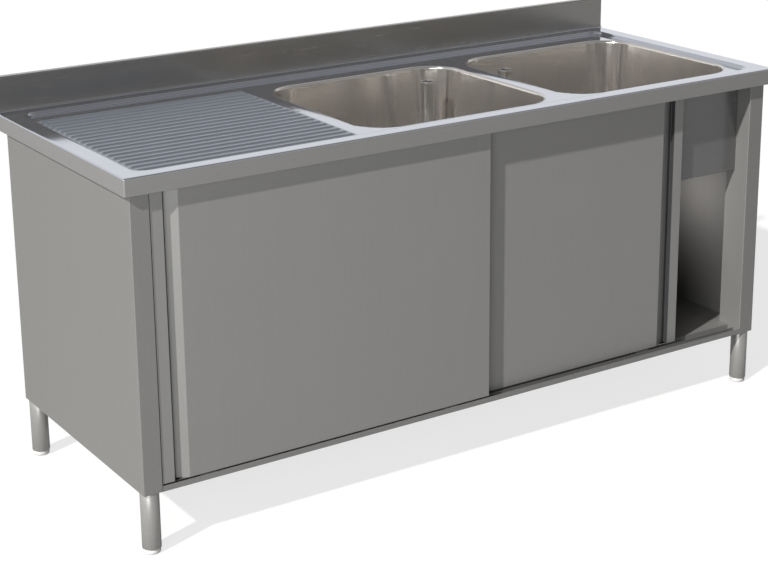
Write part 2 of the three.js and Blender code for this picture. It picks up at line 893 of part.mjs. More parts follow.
place("worktop", worktop(), brushedSteel());
addBowl("left", leftBowlX, 1);
addBowl("right", rightBowlX, -1);
place("drainer_board", drainerBoard(), chipboard());
const stiffenerFrom = apronFront + bodySheet + seatGap;
const stiffenerTo = panelRear - bodySheet - 2 * seatGap - rearRailWidth;
for (let i = 0; i < stiffenerCount; i += 1) {
  const span = leftBowlEdge - boardSideGap - boardLeft;
  const x = boardLeft + (span * (i + 0.5)) / stiffenerCount;
  const z = underTop - boardThickness - seatGap;
  const hat = hatAlongY(stiffenerWidth, stiffenerHeight, stiffenerFrom, stiffenerTo);
  place(`drainer_stiffener_${i + 1}`, hat, brushedSteel(), x, 0, z);
}
place("rear_rail", rearRail(), brushedSteel());
place("bowl_apron", bowlApron(), brushedSteel());
place("left_side_panel", sidePanel(-1), brushedSteel());
place("right_side_panel", sidePanel(1), brushedSteel());
place("back_panel", backPanel(), brushedSteel());
place("bottom_shelf", bottomShelf(), brushedSteel());
place("shelf_stiffener", shelfStiffener(), brushedSteel());
addCorners();
addDoor("left", leftDoorX, frontDoorY, 1);
addDoor("right", rightDoorX, frontDoorY + trackPitch, -1);
place("upper_track", upperTrack(), brushedSteel());
place("lower_guide", lowerGuide(), brushedSteel());

export default unit;
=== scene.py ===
import json
import math

import bpy
from mathutils import Matrix, Vector


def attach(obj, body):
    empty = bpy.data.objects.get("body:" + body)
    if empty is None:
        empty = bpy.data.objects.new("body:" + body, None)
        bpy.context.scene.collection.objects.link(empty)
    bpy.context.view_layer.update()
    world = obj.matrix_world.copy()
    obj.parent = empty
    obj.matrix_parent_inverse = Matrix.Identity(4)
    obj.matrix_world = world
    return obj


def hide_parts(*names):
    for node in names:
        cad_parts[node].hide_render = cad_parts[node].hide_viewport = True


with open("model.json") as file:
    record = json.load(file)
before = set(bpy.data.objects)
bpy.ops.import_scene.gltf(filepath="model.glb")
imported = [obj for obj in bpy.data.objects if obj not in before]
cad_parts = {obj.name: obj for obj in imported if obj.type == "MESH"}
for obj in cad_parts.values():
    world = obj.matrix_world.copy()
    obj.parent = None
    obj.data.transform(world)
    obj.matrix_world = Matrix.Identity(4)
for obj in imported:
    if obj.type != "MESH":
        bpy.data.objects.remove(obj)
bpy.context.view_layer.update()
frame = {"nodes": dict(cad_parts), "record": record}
cadNodes = frame["nodes"]
print("frame loaded:", len(cadNodes), "nodes")


# mesh helpers

foldCrease = 30
latheSides = 64
evenWeight = 80
upright = 0.5  # a face is taken as upright when its normal points up or down less than this
tiny = 1e-6


def addMesh(name, points, faces, creaseAngle):
    mesh = bpy.data.meshes.new(name)
    mesh.from_pydata([tuple(p) for p in points], [], faces)
    mesh.validate(verbose=False)
    mesh.shade_smooth()
    mesh.set_sharp_from_angle(angle=math.radians(creaseAngle))
    obj = bpy.data.objects.new(name, mesh)
    bpy.context.scene.collection.objects.link(obj)
    return obj


def thicken(obj, thickness):
    # the drawn skin is the face that shows, and the sheet's thickness goes behind it
    sheet = obj.modifiers.new("sheet", "SOLIDIFY")
    sheet.thickness = thickness
    sheet.offset = -1
    sheet.use_even_offset = False
    sheet.use_rim = True
    evenShading(obj)


def evenShading(obj):
    # flat stretches keep one tone, and only the bends turn
    normals = obj.modifiers.new("normals", "WEIGHTED_NORMAL")
    normals.keep_sharp = True
    normals.weight = evenWeight


def settle(obj, body, slotName, material, *nodes):
    if not obj.data.materials:
        obj.data.materials.append(material)
    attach(obj, body)
    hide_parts(*nodes)


def smoothStep(t):
    t = min(1.0, max(0.0, t))
    return t * t * (3 - 2 * t)


def bendPath(corners, steps):
    # corners are (u, v, bend radius), walked with the side that shows on the right
    points = []
    count = len(corners)
    for i, (u, v, radius) in enumerate(corners):
        here = Vector((u, v))
        if i in (0, count - 1) or radius == 0:
            points.append(here)
            continue
        before = (Vector(corners[i - 1][:2]) - here).normalized()
        after = (Vector(corners[i + 1][:2]) - here).normalized()
        half = before.angle(after) / 2
        reach = radius / math.tan(half)
        centre = here + (before + after).normalized() * (radius / math.sin(half))
        start = here + before * reach - centre
        end = here + after * reach - centre
        turn = start.angle_signed(end)
        for step in range(steps + 1):
            swing = Matrix.Rotation(-turn * step / steps, 2)
            points.append(centre + swing @ start)
    return points


def pathNormals(points):
    normals = []
    for i in range(len(points)):
        ahead = points[min(i + 1, len(points) - 1)] - points[i]
        behind = points[i] - points[max(i - 1, 0)]
        along = (ahead.normalized() + behind.normalized()).normalized()
        normals.append(Vector((along.y, -along.x)))
    return normals


def pushPath(name, points, low, high, axis):
    # a folded sheet: the path in its own plane, pushed along the third axis
    place = {
        "x": lambda u, v, w: (w, u, v),
        "z": lambda u, v, w: (u, v, w),
    }[axis]
    verts = [place(p[0], p[1], low) for p in points] + [place(p[0], p[1], high) for p in points]
    count = len(points)
    faces = [(i, i + 1, i + 1 + count, i + count) for i in range(count - 1)]
    return addMesh(name, verts, faces, foldCrease)


def lathe(name, profile, centre, creaseAngle):
    # profile is (radius, height), and a radius of 0 closes on the axis
    sides = latheSides
    verts, faces, rings = [], [], []
    for radius, height in profile:
        if radius < tiny:
            rings.append([len(verts)] * sides)
            verts.append((centre[0], centre[1], centre[2] + height))
            continue
        rings.append(list(range(len(verts), len(verts) + sides)))
        for i in range(sides):
            angle = 2 * math.pi * i / sides
            verts.append((
                centre[0] + radius * math.cos(angle),
                centre[1] + radius * math.sin(angle),
                centre[2] + height,
            ))
    for low, high in zip(rings, rings[1:]):
        for i in range(sides):
            j = (i + 1) % sides
            corners = [low[i], low[j], high[j], high[i]]
            face = [c for k, c in enumerate(corners) if c not in corners[:k]]
            if len(face) > 2:
                faces.append(face)
    return addMesh(name, verts, faces, creaseAngle)


def roundedLoop(centre, halfWidth, halfLength, corner, height, steps):
    loop = []
    for quarter, (sx, sy) in enumerate([(1, 1), (-1, 1), (-1, -1), (1, -1)]):
        cx = centre[0] + sx * (halfWidth - corner)
        cy = centre[1] + sy * (halfLength - corner)
        for step in range(steps + 1):
            angle = (quarter + step / steps) * math.pi / 2
            loop.append((cx + corner * math.cos(angle), cy + corner * math.sin(angle), height))
    return loop


def loftLoops(loops):
    count = len(loops[0])
    verts = [p for loop in loops for p in loop]
    faces = []
    for level in range(len(loops) - 1):
        for i in range(count):
            j = (i + 1) % count
            a = level * count
            faces.append((a + i, a + j, a + count + j, a + count + i))
    return verts, faces


def roundedDistance(x, y, centre, halfWidth, halfLength, corner):
    # signed distance to a rectangle with round corners, negative inside
    dx = abs(x - centre[0]) - halfWidth + corner
    dy = abs(y - centre[1]) - halfLength + corner
    return math.hypot(max(dx, 0), max(dy, 0)) + min(max(dx, dy), 0) - corner


# shader helpers

def addNode(tree, kind, **inputs):
    node = tree.nodes.new(kind)
    for key, value in inputs.items():
        name = key.replace("_", " ")
        if name in node.inputs:
            node.inputs[name].default_value = value
        else:
            setattr(node, key, value)
    return node


def newGroup(name, inputs, outputs):
    tree = bpy.data.node_groups.new(name, "ShaderNodeTree")
    for label, kind, value in inputs:
        socket = tree.interface.new_socket(name=label, in_out="INPUT", socket_type=kind)
        socket.default_value = value
    for label, kind in outputs:
        tree.interface.new_socket(name=label, in_out="OUTPUT", socket_type=kind)
    return tree, tree.nodes.new("NodeGroupInput"), tree.nodes.new("NodeGroupOutput")


grainLook = {
    "stretch": (40, 1500, 1500), "band": 0.12,
    "scratchDetail": 3.0, "scratchRoughness": 0.6, "bandDetail": 4.0, "bandRoughness": 0.7,
    "bandShare": 0.6, "toneRange": (0.45, 1.15),
}


def makeBrushedGrain(look):
    # long fine scratches in the brushing direction, with broader bands between them
    tree, given, made = newGroup(
        "brushedGrain",
        [("Stretch", "NodeSocketVector", look["stretch"]), ("Band", "NodeSocketFloat", look["band"])],
        [("Tone", "NodeSocketFloat"), ("Rough", "NodeSocketFloat"), ("Height", "NodeSocketFloat")],
    )
    link = tree.links.new
    place = addNode(tree, "ShaderNodeTexCoord")
    fine = addNode(tree, "ShaderNodeVectorMath", operation="MULTIPLY")
    link(place.outputs["Object"], fine.inputs[0])
    link(given.outputs["Stretch"], fine.inputs[1])
    scratch = addNode(tree, "ShaderNodeTexNoise", Scale=1.0)
    scratch.inputs["Detail"].default_value = look["scratchDetail"]
    scratch.inputs["Roughness"].default_value = look["scratchRoughness"]
    link(fine.outputs[0], scratch.inputs["Vector"])
    broad = addNode(tree, "ShaderNodeVectorMath", operation="SCALE")
    link(fine.outputs[0], broad.inputs[0])
    link(given.outputs["Band"], broad.inputs["Scale"])
    band = addNode(tree, "ShaderNodeTexNoise", Scale=1.0)
    band.inputs["Detail"].default_value = look["bandDetail"]
    band.inputs["Roughness"].default_value = look["bandRoughness"]
    link(broad.outputs[0], band.inputs["Vector"])
    tone = addNode(tree, "ShaderNodeMath", operation="MULTIPLY_ADD")
    link(band.outputs["Fac"], tone.inputs[0])
    tone.inputs[1].default_value = look["bandShare"]
    link(scratch.outputs["Fac"], tone.inputs[2])
    low, high = look["toneRange"]
    level = addNode(tree, "ShaderNodeMapRange", From_Min=low, From_Max=high)
    link(tone.outputs[0], level.inputs["Value"])
    link(level.outputs[0], made.inputs["Tone"])
    link(band.outputs["Fac"], made.inputs["Rough"])
    link(scratch.outputs["Fac"], made.inputs["Height"])
    return tree


handlingLook = {
    "patch": 5.0, "patchDetail": 5.0, "patchRoughness": 0.62,
    "wave": 2.2, "waveDetail": 1.0, "waveRoughness": 0.4,
}


def makeHandling(look):
    # soft cloudy patches, as of wiping and handling, and a slow waviness of the sheet
    tree, given, made = newGroup(
        "handling",
        [("Patch size", "NodeSocketFloat", look["patch"]), ("Wave size", "NodeSocketFloat", look["wave"])],
        [("Patches", "NodeSocketFloat"), ("Waves", "NodeSocketFloat")],
    )
    link = tree.links.new
    place = addNode(tree, "ShaderNodeTexCoord")
    cloud = addNode(tree, "ShaderNodeTexNoise")
    cloud.inputs["Detail"].default_value = look["patchDetail"]
    cloud.inputs["Roughness"].default_value = look["patchRoughness"]
    link(place.outputs["Object"], cloud.inputs["Vector"])
    link(given.outputs["Patch size"], cloud.inputs["Scale"])
    wave = addNode(tree, "ShaderNodeTexNoise")
    wave.inputs["Detail"].default_value = look["waveDetail"]
    wave.inputs["Roughness"].default_value = look["waveRoughness"]
    link(place.outputs["Object"], wave.inputs["Vector"])
    link(given.outputs["Wave size"], wave.inputs["Scale"])
    link(cloud.outputs["Fac"], made.inputs["Patches"])
    link(wave.outputs["Fac"], made.inputs["Waves"])
    return tree


brushedGrain = makeBrushedGrain(grainLook)
handling = makeHandling(handlingLook)

steelBasis = {
    "toneRange": (0.1, 1.2), "patchShare": 0.5, "dullShare": 0.6, "dullRange": (0.45, 1.15),
    "waveDepth": 0.004, "scratchDepth": 0.00008,
}


def steelFinish(name, look):
    material = bpy.data.materials.new(name)
    material.use_nodes = True
    tree = material.node_tree
    link = tree.links.new
    shader = tree.nodes["Principled BSDF"]
    shader.inputs["Metallic"].default_value = look["metal"]
    grain = addNode(tree, "ShaderNodeGroup", node_tree=brushedGrain)
    grain.inputs["Stretch"].default_value = look["stretch"]
    touch = addNode(tree, "ShaderNodeGroup", node_tree=handling)
    touch.inputs["Patch size"].default_value = look["patch"]
    touch.inputs["Wave size"].default_value = look["wave"]
    ramp = addNode(tree, "ShaderNodeMix", data_type="RGBA")
    base = look["colour"]
    spread = look["spread"]
    ramp.inputs[6].default_value = tuple(c * (1 - spread) for c in base) + (1,)
    ramp.inputs[7].default_value = tuple(min(1, c * (1 + spread)) for c in base) + (1,)
    blendTone = addNode(tree, "ShaderNodeMath", operation="MULTIPLY_ADD")
    link(touch.outputs["Patches"], blendTone.inputs[0])
    blendTone.inputs[1].default_value = steelBasis["patchShare"]
    link(grain.outputs["Tone"], blendTone.inputs[2])
    toneLow, toneHigh = steelBasis["toneRange"]
    level = addNode(tree, "ShaderNodeMapRange", From_Min=toneLow, From_Max=toneHigh)
    link(blendTone.outputs[0], level.inputs["Value"])
    link(level.outputs[0], ramp.inputs[0])
    link(ramp.outputs[2], shader.inputs["Base Color"])
    dull = addNode(tree, "ShaderNodeMath", operation="MULTIPLY_ADD")
    link(touch.outputs["Patches"], dull.inputs[0])
    dull.inputs[1].default_value = steelBasis["dullShare"]
    link(grain.outputs["Rough"], dull.inputs[2])
    dullLow, dullHigh = steelBasis["dullRange"]
    low, high = look["rough"]
    rough = addNode(tree, "ShaderNodeMapRange", From_Min=dullLow, From_Max=dullHigh, To_Min=low, To_Max=high)
    link(dull.outputs[0], rough.inputs["Value"])
    link(rough.outputs[0], shader.inputs["Roughness"])
    wavy = addNode(tree, "ShaderNodeBump", Strength=look["waviness"], Distance=steelBasis["waveDepth"])
    link(touch.outputs["Waves"], wavy.inputs["Height"])
    lines = addNode(tree, "ShaderNodeBump", Strength=look["scratch"], Distance=steelBasis["scratchDepth"])
    link(grain.outputs["Height"], lines.inputs["Height"])
    link(wavy.outputs["Normal"], lines.inputs["Normal"])
    link(lines.outputs["Normal"], shader.inputs["Normal"])
    return material


mouldedBasis = {
    "detail": 4.0, "roughness": 0.6, "patch": 40.0, "grainShare": 0.5, "toneRange": (0.4, 1.1),
    "dullRange": (0.3, 0.7), "bump": 0.2, "grainDepth": 0.0002,
}


def mouldedFinish(name, look):
    # plastic, rubber or board: a fine texture and slightly uneven colour
    material = bpy.data.materials.new(name)
    material.use_nodes = True
    tree = material.node_tree
    link = tree.links.new
    shader = tree.nodes["Principled BSDF"]
    place = addNode(tree, "ShaderNodeTexCoord")
    basis = mouldedBasis
    fine = addNode(tree, "ShaderNodeTexNoise", Scale=look["grain"])
    fine.inputs["Detail"].default_value = basis["detail"]
    fine.inputs["Roughness"].default_value = basis["roughness"]
    link(place.outputs["Object"], fine.inputs["Vector"])
    touch = addNode(tree, "ShaderNodeGroup", node_tree=handling)
    touch.inputs["Patch size"].default_value = basis["patch"]
    ramp = addNode(tree, "ShaderNodeMix", data_type="RGBA")
    ramp.inputs[6].default_value = look["dark"] + (1,)
    ramp.inputs[7].default_value = look["light"] + (1,)
    mixed = addNode(tree, "ShaderNodeMath", operation="MULTIPLY_ADD")
    link(fine.outputs["Fac"], mixed.inputs[0])
    mixed.inputs[1].default_value = look.get("grainShare", basis["grainShare"])
    link(touch.outputs["Patches"], mixed.inputs[2])
    toneLow, toneHigh = basis["toneRange"]
    level = addNode(tree, "ShaderNodeMapRange", From_Min=toneLow, From_Max=toneHigh)
    link(mixed.outputs[0], level.inputs["Value"])
    link(level.outputs[0], ramp.inputs[0])
    link(ramp.outputs[2], shader.inputs["Base Color"])
    dullLow, dullHigh = basis["dullRange"]
    low, high = look["rough"]
    rough = addNode(tree, "ShaderNodeMapRange", From_Min=dullLow, From_Max=dullHigh, To_Min=low, To_Max=high)
    link(touch.outputs["Patches"], rough.inputs["Value"])
    link(rough.outputs[0], shader.inputs["Roughness"])
    bump = addNode(tree, "ShaderNodeBump", Strength=look.get("bump", basis["bump"]))
    bump.inputs["Distance"].default_value = basis["grainDepth"]
    link(fine.outputs["Fac"], bump.inputs["Height"])
    link(bump.outputs["Normal"], shader.inputs["Normal"])
    return material


# how much the grain is squeezed along each axis: little along the brushing
alongX = (14, 900, 900)
alongZ = (900, 900, 14)

deckSteel = steelFinish("deckSteel", {
    "colour": (0.58, 0.60, 0.65), "metal": 0.97, "rough": (0.07, 0.12), "stretch": alongX,
    "spread": 0.06, "patch": 6.0, "waviness": 0.06, "wave": 3.0, "scratch": 0.06,
})
# the rib zone: a rougher finish, with a darker, bluer colour than the deck steel that is painted reflection
drainerPaintedReflection = steelFinish("drainerPaintedReflection", {
    "colour": (0.37, 0.395, 0.45), "metal": 0.85, "rough": (0.26, 0.36), "stretch": alongX,
    "spread": 0.08, "patch": 6.0, "waviness": 0.04, "wave": 3.0, "scratch": 0.08,
})
skirtSteel = steelFinish("skirtSteel", {
    "colour": (0.285, 0.283, 0.281), "metal": 0.35, "rough": (0.34, 0.46), "stretch": alongX,
    "spread": 0.06, "patch": 5.0, "waviness": 0.06, "wave": 3.0, "scratch": 0.08,
})
splashSteel = steelFinish("splashSteel", {
    "colour": (0.29, 0.285, 0.275), "metal": 0.85, "rough": (0.2, 0.3), "stretch": alongX,
    "spread": 0.05, "patch": 4.0, "waviness": 0.05, "wave": 2.0, "scratch": 0.03,
})
bowlSteel = steelFinish("bowlSteel", {
    "colour": (0.66, 0.638, 0.61), "metal": 0.93, "rough": (0.11, 0.18), "stretch": (600, 600, 600),
    "spread": 0.06, "patch": 9.0, "waviness": 0.12, "wave": 6.0, "scratch": 0.012,
})
fittingSteel = steelFinish("fittingSteel", {
    "colour": (0.74, 0.735, 0.72), "metal": 0.95, "rough": (0.12, 0.2), "stretch": (700, 700, 30),
    "spread": 0.08, "patch": 30.0, "waviness": 0.04, "wave": 20.0, "scratch": 0.06,
})
sideSteel = steelFinish("sideSteel", {
    "colour": (0.248, 0.246, 0.241), "metal": 0.3, "rough": (0.38, 0.5), "stretch": alongZ,
    "spread": 0.05, "patch": 3.0, "waviness": 0.08, "wave": 1.8, "scratch": 0.08,
})
doorSteel = steelFinish("doorSteel", {
    "colour": (0.295, 0.293, 0.287), "metal": 0.3, "rough": (0.38, 0.5), "stretch": alongZ,
    "spread": 0.05, "patch": 3.5, "waviness": 0.08, "wave": 2.0, "scratch": 0.08,
})
# painted shade: a darker copy of the cabinet steel for the bowl cover, which sits recessed in shade behind
# the doors
apronShadeSteel = steelFinish("apronShadeSteel", {
    "colour": (0.2, 0.198, 0.2), "metal": 0.6, "rough": (0.2, 0.3), "stretch": alongX,
    "spread": 0.08, "patch": 4.0, "waviness": 0.06, "wave": 2.5, "scratch": 0.06,
})
# painted light: a lighter, more diffuse copy of the side steel for the inside of the side panels, standing in
# for light thrown up into the bay
innerPaintedLightSteel = steelFinish("innerPaintedLightSteel", {
    "colour": (0.27, 0.265, 0.26), "metal": 0.25, "rough": (0.3, 0.4), "stretch": alongZ,
    "spread": 0.06, "patch": 3.0, "waviness": 0.08, "wave": 1.8, "scratch": 0.08,
})
# painted shade: a near-black copy of the door steel for the grip channel's wall and floor, where there is
# only shade
paintedGrooveShade = steelFinish("paintedGrooveShade", {
    "colour": (0.07, 0.07, 0.074), "metal": 0.4, "rough": (0.36, 0.48), "stretch": alongZ,
    "spread": 0.1, "patch": 14.0, "waviness": 0.04, "wave": 6.0, "scratch": 0.08,
})
frameSteel = steelFinish("frameSteel", {
    "colour": (0.3, 0.3, 0.295), "metal": 0.7, "rough": (0.3, 0.42), "stretch": alongZ,
    "spread": 0.1, "patch": 12.0, "waviness": 0.1, "wave": 6.0, "scratch": 0.12,
})
legSteel = steelFinish("legSteel", {
    "colour": (0.37, 0.365, 0.355), "metal": 0.5, "rough": (0.3, 0.4), "stretch": (200, 200, 1500),
    "spread": 0.05, "patch": 12.0, "waviness": 0.03, "wave": 12.0, "scratch": 0.05,
})
whiteNylon = mouldedFinish("whiteNylon", {
    "dark": (0.66, 0.66, 0.65), "light": (0.8, 0.8, 0.79), "rough": (0.34, 0.48), "grain": 900.0,
    "bump": 0.12,
})
greyNylon = mouldedFinish("greyNylon", {
    "dark": (0.075, 0.078, 0.082), "light": (0.12, 0.124, 0.13), "rough": (0.42, 0.56), "grain": 900.0,
})
blackRubber = mouldedFinish("blackRubber", {
    "dark": (0.012, 0.012, 0.013), "light": (0.028, 0.028, 0.03), "rough": (0.6, 0.8), "grain": 700.0,
})
chipboard = mouldedFinish("chipboard", {
    "dark": (0.2, 0.13, 0.07), "light": (0.55, 0.42, 0.27), "rough": (0.75, 0.9), "grain": 260.0,
    "grainShare": 1.1, "bump": 0.8,
})
print("finishes made")


# worktop

worktopShape = {
    "halfWidth": 0.9, "halfDepth": 0.35, "top": 0.85, "skirtBottom": 0.81, "fold": 0.003,
    "hem": 0.012, "hemFold": 0.0015, "sheet": 0.0012,
    "recessCentre": (0.0, -0.008), "recessHalf": (0.858, 0.308), "recessCorner": 0.036,
    "recessDepth": 0.008, "recessSlope": 0.009,
    "splashFront": 0.33, "splashTop": 0.935, "splashFold": 0.003, "cove": 0.008,
    "ribCount": 19, "ribFirst": -0.28, "ribPitch": 0.028, "ribFoot": 0.0075, "ribCrown": 0.0022,
    "ribHeight": 0.004, "ribSpan": (-0.846, -0.308), "ribEnd": 0.012,
    "endStops": (0.003, 0.01, 0.025, 0.038), "frontStops": (0.003, 0.01, 0.022, 0.03),
    "rearStops": (0.304, 0.312, 0.322), "gapStops": (-0.298, -0.29),
    "ribStops": (0.0, 0.0011, 0.0022, 0.0032, 0.0042, 0.0052, 0.0063, 0.0075),
    "slopeSteps": 6, "cornerSteps": 7, "ribEndSteps": 5, "columnGap": 0.0009, "rowGap": 0.0007,
    "hemSteps": 3, "foldSteps": 4, "coveSteps": 5, "hemShoulder": 0.3, "splashFrom": 0.5, "crease": 50,
}
bowlShape = {
    "left": (-0.001, -0.028), "right": (0.577, -0.028), "half": (0.265, 0.25), "corner": 0.09,
    "rim": 0.006, "deck": 0.842, "bottom": 0.6, "draft": 0.014, "fillet": 0.036,
    "waste": {"left": (0.166, 0.129), "right": (0.410, 0.129)}, "wasteHole": 0.028,
    "sheet": 0.0012, "fall": 0.003, "cutSteps": 16, "middleStops": (-0.12, -0.06, 0.0, 0.06, 0.12),
    "cornerSteps": 14, "rimSteps": 7, "wallSteps": 8, "floorSteps": 6, "crease": 60,
}


def ribLift(x, y, shape):
    start, end = shape["ribSpan"]
    if not start <= x <= end:
        return 0.0
    nearest = round((y - shape["ribFirst"]) / shape["ribPitch"])
    nearest = min(shape["ribCount"] - 1, max(0, nearest))
    off = abs(y - shape["ribFirst"] - nearest * shape["ribPitch"])
    flank = 1 - smoothStep((off - shape["ribCrown"]) / (shape["ribFoot"] - shape["ribCrown"]))
    ends = smoothStep(min(x - start, end - x) / shape["ribEnd"])
    return shape["ribHeight"] * flank * ends


def deckHeight(x, y, shape):
    inward = -roundedDistance(x, y, shape["recessCentre"], *shape["recessHalf"], shape["recessCorner"])
    drop = shape["recessDepth"] * smoothStep(inward / shape["recessSlope"])
    return shape["top"] - drop + ribLift(x, y, shape)


def splitEvenly(start, end, steps):
    return {start + (end - start) * k / steps for k in range(steps + 1)}


def deckColumns(shape):
    wide, edge = shape["halfWidth"], shape["recessHalf"][0]
    start, end = shape["ribSpan"]
    ribEnd, endSteps = shape["ribEnd"], shape["ribEndSteps"]
    columns = set(shape["gapStops"])
    for side in (-1, 1):
        columns |= {side * (wide - stop) for stop in shape["endStops"]}
        columns |= splitEvenly(side * edge, side * (edge - shape["recessSlope"]), shape["slopeSteps"])
        columns |= splitEvenly(side * edge, side * (edge - shape["recessCorner"]), shape["cornerSteps"])
    columns |= splitEvenly(start, start + ribEnd, endSteps)
    columns |= splitEvenly(end - ribEnd, end, endSteps)
    columns |= {start + ribEnd + shape["ribPitch"] * k for k in range(1, shape["ribCount"] - 1)}
    for side in ("left", "right"):
        middle = bowlShape[side][0]
        reach = bowlShape["half"][0] + bowlShape["rim"]
        zone = bowlShape["corner"] + bowlShape["rim"]
        columns |= splitEvenly(middle - reach, middle - reach + zone, bowlShape["cutSteps"])
        columns |= splitEvenly(middle + reach - zone, middle + reach, bowlShape["cutSteps"])
        columns |= {middle + offset for offset in bowlShape["middleStops"]}
    columns.add((bowlShape["left"][0] + bowlShape["right"][0]) / 2)
    return tidyStops(columns, shape["columnGap"])


def deckRows(shape):
    rows = {stop - shape["halfDepth"] for stop in shape["frontStops"]}
    for side in (-1, 1):
        edge = shape["recessCentre"][1] + side * shape["recessHalf"][1]
        rows |= splitEvenly(edge, edge - side * shape["recessSlope"], shape["slopeSteps"])
        rows |= splitEvenly(edge, edge - side * shape["recessCorner"], shape["cornerSteps"])
    for i in range(shape["ribCount"]):
        middle = shape["ribFirst"] + i * shape["ribPitch"]
        for offset in shape["ribStops"]:
            rows |= {middle - offset, middle + offset}
        rows.add(middle + shape["ribPitch"] / 2)
    rows |= set(shape["rearStops"])
    return tidyStops(rows, shape["rowGap"])


def tidyStops(stops, least):
    kept = []
    for stop in sorted(stops):
        if not kept or stop - kept[-1] > least:
            kept.append(stop)
    return kept


def foldRows(shape):
    # (y, z, normal y, normal z, lies on the deck) from the front hem over the top to the rear hem
    depth, top, bottom = shape["halfDepth"], shape["top"], shape["skirtBottom"]
    rows = []

    def arc(centreY, centreZ, radius, startAngle, endAngle, steps, hollow=False):
        for k in range(steps + 1):
            angle = math.radians(startAngle + (endAngle - startAngle) * k / steps)
            ny, nz = math.cos(angle), math.sin(angle)
            sign = -1 if hollow else 1
            rows.append((centreY + radius * ny, centreZ + radius * nz, sign * ny, sign * nz, False))

    hem, small, fold = shape["hem"], shape["hemFold"], shape["fold"]
    hemSteps, foldSteps = shape["hemSteps"], shape["foldSteps"]
    rows.append((-depth + hem, bottom, 0, -1, False))
    arc(-depth + small, bottom + small, small, 270, 180, hemSteps)
    arc(-depth + fold, top - fold, fold, 180, 90, foldSteps)
    for y in deckRows(shape)[1:-1]:
        rows.append((y, None, 0, 1, True))
    cove, face = shape["cove"], shape["splashFront"]
    arc(face - cove, top + cove, cove, 270, 360, shape["coveSteps"], hollow=True)
    edge, high = shape["splashFold"], shape["splashTop"]
    arc(face + edge, high - edge, edge, 180, 90, foldSteps)
    arc(depth - edge, high - edge, edge, 90, 0, foldSteps)
    arc(depth - small, bottom + small, small, 0, -90, hemSteps)
    rows.append((depth - hem, bottom, 0, -1, False))
    return rows


def endStrips(verts, edge, side, footHeight):
    # the flat end plate in upright strips, from the folded edge down to the hem
    lines = []
    for v in edge:
        if lines and abs(verts[v][1] - verts[lines[-1][0]][1]) < tiny:
            if math.dist(verts[v], verts[lines[-1][-1]]) > tiny:
                lines[-1].append(v)
        else:
            lines.append([v])
    feet = []
    for line in lines:
        if line is lines[0]:
            feet.append(line.pop(0))
        elif line is lines[-1]:
            feet.append(line.pop())
        else:
            x, y, _ = verts[line[0]]
            feet.append(len(verts))
            verts.append((x, y, footHeight))
    strips = []
    for k in range(len(lines) - 1):
        strip = [feet[k], *lines[k], lines[k + 1][0], feet[k + 1]]
        strips.append(strip[::-side])
    return strips


